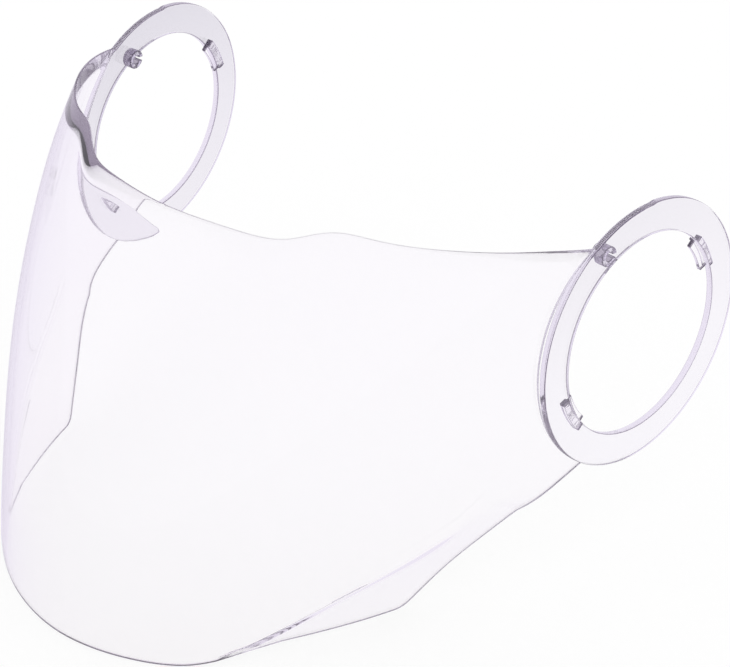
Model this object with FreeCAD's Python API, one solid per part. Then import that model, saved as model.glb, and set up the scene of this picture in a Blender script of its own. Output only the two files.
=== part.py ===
import FreeCAD, Part
import math
import os
from FreeCAD import Vector

# Clear visor for an open-face motorcycle helmet, in millimetres and degrees.
# While it is modelled the origin is midway between the centres of the two arm rings. X runs to the
# wearer's left, -Y to the front and +Z up. At the end the visor is pitched and lifted so that its
# chin edge and its two rear corners stand on z = 0, centred over the origin.

# Arm rings that turn round the helmet's side pods
pivot_span = 238.1
ring_radius = 50.0
ring_band = 12.1
ring_thickness = 2.6
ring_face_proud = 1.3
ring_splay_deg = 5.2
ring_lean_deg = 2.2
ring_edge_bevel = 0.4

# Curved shield, lofted through level sections from the chin up to the brow
shield_ear_proud = 0.95
shield_wall = 2.2
chin_depth = 172.5
brow_depth = 107.5
base_margin = 2.8
crown_margin = 3.2
level_height_shares = (0.0, 0.29, 0.516, 0.71, 0.871, 1.0)
level_depth_shares = (1.0, 0.9, 0.667, 0.439, 0.22, 0.0)
level_width_shares = (0.992, 1.003, 1.005, 1.002, 0.992, 0.992)
level_squareness_shares = (0.96, 0.93, 0.99, 0.995, 0.955, 0.855)
points_per_side = 7

# Top edge in side view: a low hump over each temple and a straight brow between them
top_join_rise = 44.0
hump_rise = 56.8
dip_rise = 53.3
top_edge_rise = 54.9
top_edge_depth_shares = (-0.1, 0.25, 0.36, 0.525, 0.665, 0.78, 0.83, 0.882, 0.965, 1.008, 1.045)
top_climb_shares = (-0.6, 0.0, 0.22, 0.47, 0.67, 0.89)
hump_fall_share = 0.29
brow_climb_share = 0.55

# Bevel that thins the wall from its inner side along the whole top edge
brow_bevel_reach = 8.5
brow_edge_wall = 0.7
brow_stations = 33

# Bottom edge in side view: down from the ring to a corner, then level, then down to the chin
corner_back = 88.1
corner_drop = 86.2
corner_round = 7.0
chin_edge_drop = 92.2
chin_step_drop = 84.4
chin_step_share = 0.7594
jaw_back_shares = (0.0, 0.34, 0.51, 0.675, 0.81)
jaw_drop_shares = (0.36, 0.479, 0.549, 0.652, 0.78)
chin_back_shares = (0.0, 0.15, 0.35, 0.6, 0.85)
chin_fall_shares = (0.0, 0.12, 0.36, 0.88, 1.0)

# Folded facet behind the chin. A crease runs down and forward to the bottom edge, and below it the
# wall tucks inwards, most at the lower corner. Towards the ring the facet fades out.
crease_back_shares = (0.336, 0.493, 0.684, 0.875)
crease_drop_shares = (0.401, 0.588, 0.751, 0.974)
facet_ring_back_share = 0.386
facet_ring_drop_share = 0.545
facet_jaw_back_share = 0.812
facet_jaw_drop_share = 0.781
facet_chin_back_share = 0.736
facet_chin_drop_share = 0.976
facet_fade_proud = 0.6
facet_ring_tuck = 0.2
facet_jaw_tuck = 8.5
facet_chin_tuck = 10.5
corner_tuck = 13.4
facet_steps = 9

# Retaining tabs on the inboard side of each ring, reaching into the bore
tab_overhang = 2.6
tab_foot = 2.9
tab_length = 15.0
tab_height = 2.2
tab_lip_thickness = 1.4
tab_corner_round = 0.8
front_tab_angle_deg = 209.0
rear_tab_angle_deg = 28.0

# Split guide hook on the inboard side of each ring
hook_radius = 3.7
hook_hole_radius = 1.6
hook_height = 4.0
hook_slit = 1.4
hook_tip_bevel = 0.5
hook_inset = 3.1
hook_angle_deg = 115.0
hook_slit_angle_deg = -10.0

# How far cutting shapes run past what they cut, and how closely two lengths count as equal
overrun = 30.0
cutter_reach_share = 0.3
length_match = 0.05

# Worked out from the sizes above
shield_half_width = pivot_span / 2 + shield_ear_proud
base_drop = max(chin_edge_drop, corner_drop) + base_margin
crown_rise = max(hump_rise, top_edge_rise) + crown_margin
chin_step_back = chin_depth * chin_step_share
ring_inboard = ring_face_proud - ring_thickness
ring_bore_radius = ring_radius - ring_band
tab_reach_radius = ring_bore_radius - tab_overhang
tab_foot_radius = ring_bore_radius + tab_foot
hook_ring_radius = ring_bore_radius + hook_inset

ORIGIN = Vector(0, 0, 0)
ALONG_X = Vector(1, 0, 0)
ALONG_Y = Vector(0, 1, 0)
ALONG_Z = Vector(0, 0, 1)


def mix(start, end, share):
    """Value at a share of the way from start to end."""
    return start + (end - start) * share


def blend(shares, values, share):
    """Straight-line reading of a table of values at a share of the height."""
    for low, high, first, last in zip(shares, shares[1:], values, values[1:]):
        if share <= high:
            return mix(first, last, (share - low) / (high - low))
    return values[-1]


def level_sizes(share):
    """Half width, depth and power of the section at a share of the height. Power 2 is an ellipse."""
    width = shield_half_width * blend(level_height_shares, level_width_shares, share)
    depth = mix(brow_depth, chin_depth, blend(level_height_shares, level_depth_shares, share))
    return width, depth, 2 * blend(level_height_shares, level_squareness_shares, share)


def shield_x(back, height):
    """Half width of the shield's outer surface at a distance in front of the origin and a height."""
    share = (height + base_drop) / (base_drop + crown_rise)
    width, depth, power = level_sizes(share)
    return width * (1 - (back / depth) ** power) ** (1 / power)


def even_spline(points):
    """Curve through points that takes one unit of its parameter from each to the next."""
    curve = Part.BSplineCurve()
    curve.interpolate(Points=points, Parameters=[float(index) for index in range(len(points))])
    return curve


def level_wire(share, inset, tail):
    """Closed section at one level: a squared half ellipse round the front and a straight back."""
    width, depth, power = level_sizes(share)
    front_lean = math.hypot(1, (chin_depth - brow_depth) / (base_drop + crown_rise))
    width -= inset
    depth -= inset * front_lean
    height = mix(-base_drop, crown_rise, share)
    points = []
    for step in range(2 * points_per_side + 1):
        turn = math.pi * step / (2 * points_per_side)
        reach = math.copysign(abs(math.cos(turn)) ** (2 / power), math.cos(turn))
        points.append(Vector(width * reach, -depth * math.sin(turn) ** (2 / power), height))
    front = even_spline(points)
    right, left = points[-1], points[0]
    tail_right = right + ALONG_Y * tail
    tail_left = left + ALONG_Y * tail
    sides = [
        Part.makeLine(right, tail_right),
        Part.makeLine(tail_right, tail_left),
        Part.makeLine(tail_left, left),
    ]
    return Part.Wire([front.toShape()] + sides)


def level_loft(inset, tail):
    """Solid through every level section."""
    return Part.makeLoft([level_wire(share, inset, tail) for share in level_height_shares], True)


def side_point(back, height):
    """Point in the middle plane at a distance in front of the origin and a height."""
    return Vector(0, -back, height)


def spline(points):
    """Smooth edge through points."""
    curve = Part.BSplineCurve()
    curve.interpolate(points)
    return curve.toShape()


def rounded_corner(start, corner, end, radius):
    """Two straight edges that meet in an arc."""
    into = (corner - start).normalize()
    out = (end - corner).normalize()
    half_turn = into.getAngle(out) / 2
    leg = radius * math.tan(half_turn)
    first = corner - into * leg
    last = corner + out * leg
    inward = (out - into).normalize()
    middle = corner + inward * (radius / math.cos(half_turn) - radius)
    return [
        Part.makeLine(start, first),
        Part.Arc(first, middle, last).toShape(),
        Part.makeLine(last, end),
    ]


def side_outline():
    """Closed side-view outline that the shield is trimmed to."""
    climb = [mix(top_join_rise, hump_rise, share) for share in top_climb_shares]
    heights = climb + [hump_rise, mix(hump_rise, dip_rise, hump_fall_share), dip_rise]
    heights += [mix(dip_rise, top_edge_rise, brow_climb_share), top_edge_rise]
    top = [
        side_point(brow_depth * back, height)
        for back, height in zip(top_edge_depth_shares, heights)
    ]
    jaw = [
        side_point(corner_back * back, -corner_drop * drop)
        for back, drop in zip(jaw_back_shares, jaw_drop_shares)
    ]
    chin = [
        side_point(
            mix(chin_step_back, chin_depth, back), -mix(chin_step_drop, chin_edge_drop, drop)
        )
        for back, drop in zip(chin_back_shares, chin_fall_shares)
    ]
    corner = side_point(corner_back, -corner_drop)
    far_back = chin_depth + overrun
    far_top = side_point(far_back, top_edge_rise)
    far_bottom = side_point(far_back, -chin_edge_drop)
    edges = [spline(top), Part.makeLine(top[-1], far_top), Part.makeLine(far_top, far_bottom)]
    edges += [Part.makeLine(far_bottom, chin[-1]), spline(chin[::-1])]
    edges += rounded_corner(chin[0], corner, jaw[-1], corner_round)
    edges += [spline(jaw[::-1]), Part.makeLine(jaw[0], top[0])]
    return Part.Wire(edges)


def on_shield(place):
    """Point at a side-view place (back, drop, proud of the shield's outer surface)."""
    return Vector(shield_x(place.x, -place.y) + place.z, -place.x, -place.y)


def cutter_frame(first, last, away):
    """Closed section of a cutter: a line run past both its ends, and its copy further away."""
    start = mix(last, first, 1 + cutter_reach_share)
    end = mix(first, last, 1 + cutter_reach_share)
    return Part.makePolygon([start, end, end + away, start + away, start])


def smooth_places(places):
    """Spline through side-view places, read at even steps as points on the shield."""
    curve = even_spline(places)
    last = len(places) - 1
    return [on_shield(curve.value(last * step / facet_steps)) for step in range(facet_steps + 1)]


def facet_cutter(inset):
    """Solid outside the warped facet on the wearer's left, ruled from its crease to its edge."""
    crease = [
        Vector(chin_depth * back, chin_edge_drop * drop, 0)
        for back, drop in zip(crease_back_shares, crease_drop_shares)
    ]
    crease[0].z = facet_fade_proud
    ring_end = Vector(corner_back * facet_ring_back_share, corner_drop * facet_ring_drop_share)
    jaw = Vector(corner_back * facet_jaw_back_share, corner_drop * facet_jaw_drop_share)
    chin = Vector(chin_depth * facet_chin_back_share, chin_edge_drop * facet_chin_drop_share)
    ring_end.z = -facet_ring_tuck
    jaw.z = -facet_jaw_tuck
    chin.z = -facet_chin_tuck
    edge = [ring_end, jaw, Vector(corner_back, corner_drop, -corner_tuck), chin]
    outward = ALONG_X * 2 * overrun
    frames = [
        cutter_frame(top, bottom, outward)
        for top, bottom in zip(smooth_places(crease), smooth_places(edge))
    ]
    cutter = Part.makeLoft(frames, True, True)
    top, bottom = on_shield(crease[1]), on_shield(edge[2])
    normal = (on_shield(crease[-1]) - top).cross(bottom - top).normalize()
    cutter.translate(-normal * inset)
    return cutter


def across(shape):
    """The same shape on the wearer's right."""
    return shape.mirror(ORIGIN, ALONG_X)


def folded_loft(inset, tail):
    """Level loft with the two lower corners folded in."""
    cutter = facet_cutter(inset)
    return level_loft(inset, tail).cut(cutter).cut(across(cutter))


def on_ring(shape):
    """Place a shape drawn round the X axis on the ring of the wearer's left arm."""
    splay = FreeCAD.Rotation(ALONG_Z, -ring_splay_deg)
    lean = FreeCAD.Rotation(ALONG_Y, -ring_lean_deg)
    placed = shape.copy()
    seat = FreeCAD.Placement(ALONG_X * (pivot_span / 2), splay.multiply(lean))
    placed.Placement = seat.multiply(placed.Placement)
    return placed


def ring():
    """Flat annulus with lightly bevelled edges."""
    seat = ALONG_X * ring_inboard
    disc = Part.makeCylinder(ring_radius, ring_thickness, seat, ALONG_X)
    bore = Part.makeCylinder(ring_bore_radius, ring_thickness, seat, ALONG_X)
    band = disc.cut(bore)
    circles = [edge for edge in band.Edges if len(edge.Vertexes) == 1]
    return on_ring(band.makeChamfer(ring_edge_bevel, circles))


def brow_cutter(wall):
    """Solid inside the bevel, lofted through a frame at each station along the top edge."""
    rims = [edge for edge in wall.Edges if edge.BoundBox.ZMin > 0]
    rim = min(rims, key=lambda edge: edge.BoundBox.YMin)
    face = max(wall.ancestorsOfType(rim, Part.Face), key=lambda side: side.Area)
    places = rim.discretize(brow_stations)
    frames = []
    for before, place, after in zip(places, places[1:], places[2:]):
        outward = face.normalAt(*face.Surface.parameter(place))
        down = (after - before).cross(outward).normalize()
        down *= -math.copysign(1, down.z)
        tip = place - outward * brow_edge_wall
        root = place - outward * shield_wall + down * brow_bevel_reach
        frames.append(cutter_frame(tip, root, outward * -overrun))
    return Part.makeLoft(frames, True)


def shield():
    """Curved wall, trimmed to its side outline and cut back to the two rings."""
    wall = folded_loft(0, overrun).cut(folded_loft(shield_wall, 2 * overrun))
    reach = pivot_span
    prism = Part.Face(side_outline()).extrude(ALONG_X * 2 * reach)
    prism.translate(ALONG_X * -reach)
    trimmed = wall.common(prism)
    trimmed = trimmed.cut(brow_cutter(trimmed))
    socket = on_ring(Part.makeCylinder(ring_radius, 2 * overrun, ALONG_X * -overrun, ALONG_X))
    return trimmed.cut(socket).cut(across(socket))


def around_ring(shape, angle_deg):
    """Turn a shape drawn on the +Y side of the ring to its place round the ring's axis."""
    turned = shape.copy()
    turned.rotate(ORIGIN, ALONG_X, angle_deg)
    return turned


def tab(angle_deg):
    """Retaining tab: a foot under the ring and a thinner lip that reaches into the bore."""
    seat = ring_inboard
    base = seat - tab_height
    corners = [
        Vector(seat, tab_foot_radius, 0),
        Vector(seat, tab_reach_radius, 0),
        Vector(seat - tab_lip_thickness, tab_reach_radius, 0),
        Vector(seat - tab_lip_thickness, ring_bore_radius, 0),
        Vector(base, ring_bore_radius, 0),
        Vector(base, tab_foot_radius, 0),
    ]
    profile = Part.Face(Part.makePolygon(corners + corners[:1]))
    sweep_deg = math.degrees(tab_length / ring_bore_radius)
    body = profile.revolve(ORIGIN, ALONG_X, sweep_deg)
    body.rotate(ORIGIN, ALONG_X, -sweep_deg / 2)
    upright = [edge for edge in body.Edges if is_tab_corner(edge)]
    return on_ring(around_ring(body.makeFillet(tab_corner_round, upright), angle_deg))


def is_tab_corner(edge):
    """True for the straight edges along the ring's axis at the ends of the lip and the foot."""
    first, last = (vertex.Point for vertex in edge.Vertexes)
    straight = first.distanceToPoint(last)
    if abs(abs(last.x - first.x) - straight) > length_match:
        return False
    radius = math.hypot(first.y, first.z)
    at_lip = abs(radius - tab_reach_radius) < length_match
    return at_lip or abs(radius - tab_foot_radius) < length_match


def guide_hook():
    """Split hollow stud that stands on the inboard face of the ring."""
    seat = ring_inboard
    centre = Vector(seat, hook_ring_radius, 0)
    stud = Part.makeCylinder(hook_radius, hook_height, centre, -ALONG_X)
    tip = [edge for edge in stud.Edges if edge.BoundBox.XMax < seat - hook_height / 2]
    stud = stud.makeChamfer(hook_tip_bevel, tip)
    stud = stud.cut(Part.makeCylinder(hook_hole_radius, hook_height, centre, -ALONG_X))
    slit = Part.makeBox(hook_height, hook_radius, hook_slit, Vector(-hook_height, 0, -hook_slit / 2))
    slit.rotate(ORIGIN, ALONG_X, hook_slit_angle_deg - hook_angle_deg)
    slit.translate(centre)
    return on_ring(around_ring(stud.cut(slit), hook_angle_deg))


def standing(parts):
    """Pitch the visor on to its chin edge and corners and centre it over the origin."""
    pitch = math.atan2(chin_edge_drop - corner_drop, chin_depth - corner_back)
    whole = Part.makeCompound([shape.copy() for shape in parts.values()])
    whole.rotate(ORIGIN, ALONG_X, -math.degrees(pitch))
    box = whole.optimalBoundingBox(False)
    shift = Vector(-box.Center.x, -box.Center.y, -box.ZMin)
    placed = {}
    for name, shape in parts.items():
        turned = shape.copy()
        turned.rotate(ORIGIN, ALONG_X, -math.degrees(pitch))
        turned.translate(shift)
        placed[name] = turned
    print("pitch", -math.degrees(pitch), "shift", shift.x, shift.y, shift.z)
    return placed


def build():
    """Every piece of the standing visor, by name."""
    left = {
        "ring": ring(),
        "front_tab": tab(front_tab_angle_deg),
        "rear_tab": tab(rear_tab_angle_deg),
        "guide_hook": guide_hook(),
    }
    parts = {"shield": shield()}
    for name, shape in left.items():
        parts["left_" + name] = shape
        parts["right_" + name] = across(shape)
    return standing(parts)


os.makedirs("parts", exist_ok=True)
for name, shape in build().items():
    shape.exportStep("parts/" + name + ".step")
    print(name, shape.isValid(), len(shape.Solids), round(shape.Volume))
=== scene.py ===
"""Looks of a clear open-face helmet visor: one polycarbonate moulding with two pivot rings.

Every length is in metres. The moulding is drawn in its own pivot frame, with the origin midway
between the two ring centres, X to the wearer's left, -Y to the front and +Z up, and is then pitched
and lifted on to its chin edge and rear corners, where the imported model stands.
"""

import logging
import math
from dataclasses import dataclass, replace
from enum import Enum, IntEnum
from typing import Any, Callable, Iterable, Sequence

import bmesh
import bpy
import numpy as np
from mathutils import Matrix, Vector

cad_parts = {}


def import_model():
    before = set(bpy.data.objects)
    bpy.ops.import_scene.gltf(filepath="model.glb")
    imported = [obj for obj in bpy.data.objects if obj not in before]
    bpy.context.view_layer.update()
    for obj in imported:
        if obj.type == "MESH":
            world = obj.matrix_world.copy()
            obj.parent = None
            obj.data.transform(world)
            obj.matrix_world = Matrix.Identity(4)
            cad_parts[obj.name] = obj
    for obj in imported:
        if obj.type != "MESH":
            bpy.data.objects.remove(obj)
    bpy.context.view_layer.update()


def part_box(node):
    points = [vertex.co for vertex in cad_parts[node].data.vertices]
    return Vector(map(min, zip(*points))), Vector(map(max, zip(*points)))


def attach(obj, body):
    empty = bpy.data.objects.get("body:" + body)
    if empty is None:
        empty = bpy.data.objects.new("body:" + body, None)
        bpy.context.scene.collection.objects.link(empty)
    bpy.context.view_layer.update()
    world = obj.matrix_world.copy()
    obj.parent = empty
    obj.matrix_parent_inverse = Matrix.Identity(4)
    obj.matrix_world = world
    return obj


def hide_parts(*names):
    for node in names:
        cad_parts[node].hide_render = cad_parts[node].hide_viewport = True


log = logging.getLogger("visor")

Colour = tuple[float, float, float]
Table = tuple[float, ...]
Finishes = Sequence[bpy.types.Material]

MM = 0.001
QUARTER = math.pi / 2
WHITE = (1.0, 1.0, 1.0)
BODY = "root"

# Marks a place beside the facet, where the wall can't stand proud of it.
BESIDE_FACET = -1.0
# An open sweep's end rounding as a share of its profile's, so that the profile's corners stay open.
END_SHARE = 0.9
# A flat gets a support point if it is this many corner legs long, at this many legs from its end.
LEAST_LEGS = 4.0
SUPPORT_LEGS = 1.5


class Side(Enum):
    """Which arm a piece belongs to, with the sign of its X."""

    LEFT = 1
    RIGHT = -1

    def node(self, piece: str) -> str:
        """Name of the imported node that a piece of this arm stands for."""
        return f"{self.name.lower()}_{piece}"


class TabPlace(Enum):
    """Where a retaining tab stands, in degrees round its ring from the rear by way of the top."""

    FRONT = 209
    REAR = 28

    def piece(self) -> str:
        """The tab's own name on its arm."""
        return f"{self.name.lower()}_tab"


class Edge(IntEnum):
    """Which edge of the wall a point of its border is on."""

    JAW = 0
    EAR = 1
    BROW = 2


class WallZone(IntEnum):
    """Faces of the wall that have a finish of their own, in the order of its slots."""

    FACE = 0
    RIM = 1
    # Rim roundings, which get the painted edge shade.
    ROUNDING = 2
    # The brow rim beyond the right shoulder, which gets painted dark shade.
    SHOULDER = 3


class SweepZone(IntEnum):
    """Faces of a swept piece that have a finish of their own, in the order of its slots."""

    FACE = 0
    RIM = 1
    ROUNDING = 2
    # Ends of open sweeps and the ring's dark bore edges, which get painted dark shade.
    END = 3
    SOFT_RIM = 4


def mm(*lengths: float) -> Table:
    """A table of lengths given in millimetres."""
    return tuple(length * MM for length in lengths)


def mix(start: Any, end: Any, share: Any) -> Any:
    """Value at a share of the way from start to end."""
    return start + (end - start) * share


def unit(vectors: np.ndarray) -> np.ndarray:
    """Vectors of length one, along the last axis."""
    return vectors / np.linalg.norm(vectors, axis=-1, keepdims=True)


def smooth_through(knots: Sequence[float], values: Sequence[float], at: np.ndarray) -> np.ndarray:
    """Read a natural cubic spline through a table.

    Args:
        knots: Rising places of the table.
        values: Value at each place.
        at: Places to read.

    Returns:
        The spline's value at each place.
    """
    x = np.asarray(knots, float)
    y = np.asarray(values, float)
    step = np.diff(x)
    slope = np.diff(y) / step
    count = len(x)
    system = np.eye(count)
    right = np.zeros(count)
    for row in range(1, count - 1):
        system[row, row - 1] = step[row - 1]
        system[row, row] = 2 * (step[row - 1] + step[row])
        system[row, row + 1] = step[row]
        right[row] = 6 * (slope[row] - slope[row - 1])
    bend = np.linalg.solve(system, right)
    cell = np.clip(np.searchsorted(x, at) - 1, 0, count - 2)
    ahead = x[cell + 1] - at
    behind = at - x[cell]
    width = step[cell]
    cubic = (bend[cell] * ahead**3 + bend[cell + 1] * behind**3) / (6 * width)
    start = (y[cell] / width - bend[cell] * width / 6) * ahead
    end = (y[cell + 1] / width - bend[cell + 1] * width / 6) * behind
    return cubic + start + end


def lengths_along(points: np.ndarray) -> np.ndarray:
    """Length from the first row of points to each row."""
    steps = np.linalg.norm(np.diff(points, axis=0), axis=-1)
    return np.concatenate([np.zeros_like(steps[:1]), np.cumsum(steps, 0)])


def read_along(run: np.ndarray, pairs: np.ndarray, wanted: np.ndarray) -> np.ndarray:
    """Read rows of two values at wanted lengths of a run."""
    return np.stack([np.interp(wanted, run, pairs[:, axis]) for axis in range(2)], -1)


def corner_arc(
    before: np.ndarray, corner: np.ndarray, after: np.ndarray, radius: float, steps: int
) -> np.ndarray:
    """Round one corner of an outline.

    Args:
        before: A point on the straight that leads into the corner.
        corner: The sharp corner.
        after: A point on the straight that leads out of it.
        radius: Radius of the arc.
        steps: Straight pieces in the arc.

    Returns:
        Points of the arc, in the outline's order.
    """
    into, out = unit(corner - before), unit(after - corner)
    half_turn = math.acos(float(np.clip(into @ out, -1, 1))) / 2
    bisector, across = unit(out - into), unit(into + out)
    centre = corner + bisector * radius / math.cos(half_turn)
    turns = np.linspace(-half_turn, half_turn, steps + 1)
    return centre - radius * (np.outer(np.cos(turns), bisector) - np.outer(np.sin(turns), across))


class Wire:
    """One socket of a node tree, so that shader maths reads as an expression."""

    def __init__(self, graph: "Graph", socket: bpy.types.NodeSocket) -> None:
        """Keep the tree and the socket."""
        self.graph = graph
        self.socket = socket

    def join(self, operation: str, first: "Wire | float", second: "Wire | float") -> "Wire":
        """Add a Math node on two values."""
        return self.graph.node("ShaderNodeMath", {0: first, 1: second}, {"operation": operation})

    def __add__(self, other: "Wire | float") -> "Wire":
        """Sum."""
        return self.join("ADD", self, other)

    def __radd__(self, other: "Wire | float") -> "Wire":
        """Sum with a number in front."""
        return self.join("ADD", other, self)

    def __sub__(self, other: "Wire | float") -> "Wire":
        """Difference."""
        return self.join("SUBTRACT", self, other)

    def __rsub__(self, other: "Wire | float") -> "Wire":
        """Difference from a number."""
        return self.join("SUBTRACT", other, self)

    def __mul__(self, other: "Wire | float") -> "Wire":
        """Product."""
        return self.join("MULTIPLY", self, other)

    def __rmul__(self, other: "Wire | float") -> "Wire":
        """Product with a number in front."""
        return self.join("MULTIPLY", other, self)

    def __truediv__(self, other: "Wire | float") -> "Wire":
        """Quotient."""
        return self.join("DIVIDE", self, other)

    def __rtruediv__(self, other: "Wire | float") -> "Wire":
        """Quotient of a number by the value."""
        return self.join("DIVIDE", other, self)

    def least(self, other: "Wire | float") -> "Wire":
        """The smaller of two values."""
        return self.join("MINIMUM", self, other)

    def share(self) -> "Wire":
        """The value kept between 0 and 1."""
        return self.join("MAXIMUM", self, 0.0).least(1.0)

    def sine(self) -> "Wire":
        """Sine of an angle in radians."""
        return self.join("SINE", self, 0.0)

    def cosine(self) -> "Wire":
        """Cosine of an angle in radians."""
        return self.join("COSINE", self, 0.0)


class Graph:
    """A node tree that is written as calls."""

    def __init__(self, tree: bpy.types.NodeTree) -> None:
        """Keep the tree."""
        self.tree = tree

    def node(
        self,
        kind: str,
        sockets: dict[int | str, Any] | None = None,
        settings: dict[str, Any] | None = None,
        output: int | str = 0,
    ) -> Wire:
        """Add a node.

        Args:
            kind: The node's type.
            sockets: A value or a wire for each input, by name or index.
            settings: Its properties, set first. A ramp's "stops" are pairs of place and colour.
            output: The output that is wanted.

        Returns:
            That output.
        """
        made = self.tree.nodes.new(kind)
        for name, value in (settings or {}).items():
            if name == "stops":
                self.set_stops(made.color_ramp, value)
            else:
                setattr(made, name, value)
        for name, value in (sockets or {}).items():
            self.feed(made.inputs[name], value)
        return Wire(self, made.outputs[output])

    def set_stops(self, ramp: bpy.types.ColorRamp, stops: Sequence[tuple[float, Colour]]) -> None:
        """Give a colour ramp its stops.

        Args:
            ramp: The ramp, with at most as many stops as it gets.
            stops: Place and colour of each stop, from low to high.
        """
        while len(ramp.elements) < len(stops):
            ramp.elements.new(1.0)
        for element, (place, colour) in zip(ramp.elements, stops):
            element.position = place
            element.color = (*colour, 1.0)

    def feed(self, socket: bpy.types.NodeSocket, value: Any) -> None:
        """Set or link an input.

        Args:
            socket: The input.
            value: A wire to link, a colour, or the socket's own kind of value.
        """
        if isinstance(value, Wire):
            self.tree.links.new(value.socket, socket)
        elif isinstance(value, tuple) and len(value) == 3 and socket.type == "RGBA":
            socket.default_value = (*value, 1.0)
        else:
            socket.default_value = value

    def blend(self, share: Wire, first: Any, second: Any) -> Wire:
        """Colour at a share of the way from one to another."""
        sockets = {0: share, 6: first, 7: second}
        return self.node("ShaderNodeMix", sockets, {"data_type": "RGBA"}, output=2)

    def height(self, point: Wire) -> Wire:
        """Z of a point or a direction."""
        return self.node("ShaderNodeSeparateXYZ", {0: point}, output="Z")

    def vector(self, x: Wire | float, y: Wire | float, z: Wire | float) -> Wire:
        """A vector from its three parts."""
        return self.node("ShaderNodeCombineXYZ", {"X": x, "Y": y, "Z": z})

    def noise(self, where: Wire, scale: float, detail: float) -> Wire:
        """Soft noise between 0 and 1 at a scale in waves per metre."""
        sockets = {"Vector": where, "Scale": scale, "Detail": detail}
        return self.node("ShaderNodeTexNoise", sockets)

    def ray(self, output: str) -> Wire:
        """One of the things that are known of a ray of light."""
        return self.node("ShaderNodeLightPath", output=output)


class Skin:
    """Vertices, faces and finishes of one piece while it is being drawn."""

    def __init__(self) -> None:
        """Start an empty piece."""
        self.points: list[np.ndarray] = []
        self.faces: list[list[int]] = []
        self.zones: list[int] = []
        self.count = 0

    def add(self, points: np.ndarray) -> np.ndarray:
        """Append points and return their indices, in rows as the points are.

        Args:
            points: Points, in rows of any shape.

        Returns:
            The index of each point, in the same shape.
        """
        first = self.count
        self.points.append(points.reshape(-1, 3))
        self.count += len(self.points[-1])
        return np.arange(first, self.count).reshape(points.shape[:-1])

    def strip(self, lower: np.ndarray, upper: np.ndarray, zones: Any, closed: bool = False) -> None:
        """Join two equal rows of vertex indices with quads.

        Args:
            lower: Indices of one row.
            upper: Indices of the other row.
            zones: Zone of all the quads, or of each.
            closed: Whether the last pair joins the first.
        """
        quads = np.stack([lower, np.roll(lower, -1), np.roll(upper, -1), upper], -1)
        quads = quads if closed else quads[:-1]
        self.faces += quads.tolist()
        self.zones += np.broadcast_to(zones, len(quads)).tolist()

    def cap(self, row: np.ndarray, zone: int) -> None:
        """Close a row of vertex indices with one face."""
        self.faces.append(row.tolist())
        self.zones.append(int(zone))

    def piece(self, name: str, finishes: Finishes, place: Matrix) -> bpy.types.Object:
        """Make the object.

        Args:
            name: Name of the piece.
            finishes: Materials, in the order of the zones.
            place: Where the drawn points go.

        Returns:
            A linked object at the origin with its place in its mesh.
        """
        data = bpy.data.meshes.new(name)
        data.from_pydata(np.concatenate(self.points).tolist(), [], self.faces)
        for finish in finishes:
            data.materials.append(finish)
        data.polygons.foreach_set("material_index", self.zones)
        data.transform(place)
        outward_faces(data)
        data.shade_smooth()
        data.update()
        return linked(name, data)


def outward_faces(data: bpy.types.Mesh) -> None:
    """Turn every face of a closed mesh outwards.

    Args:
        data: The mesh.
    """
    work = bmesh.new()
    work.from_mesh(data)
    bmesh.ops.recalc_face_normals(work, faces=work.faces)
    work.to_mesh(data)
    work.free()


def linked(name: str, data: bpy.types.ID) -> bpy.types.Object:
    """Put a mesh or a camera in the scene, at the origin.

    Args:
        name: Name of the new object.
        data: Its mesh or camera.

    Returns:
        The object.
    """
    made = bpy.data.objects.new(name, data)
    bpy.context.scene.collection.objects.link(made)
    return made


def dress(piece: bpy.types.Object, *nodes: str) -> None:
    """Let a finished piece move with the visor.

    Args:
        piece: The piece.
        *nodes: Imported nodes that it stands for, if any.
    """
    if nodes:
        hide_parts(*nodes)
    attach(piece, BODY)
    log.info("%s: %d faces", piece.name, len(piece.data.polygons))


@dataclass
class Arm:
    """One arm, with the place of its ring's frame as it is drawn on the wearer's left."""

    side: Side
    ring: Matrix

    def place(self) -> Matrix:
        """Where a shape that is drawn in the ring's frame goes on this arm."""
        return Matrix.Diagonal((self.side.value, 1, 1, 1)) @ self.ring

    def add(self, skin: Skin, name: str, finishes: Finishes, node: str) -> None:
        """Make a drawn piece, which stands for one of this arm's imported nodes."""
        dress(skin.piece(self.side.node(name), finishes, self.place()), self.side.node(node))


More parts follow.
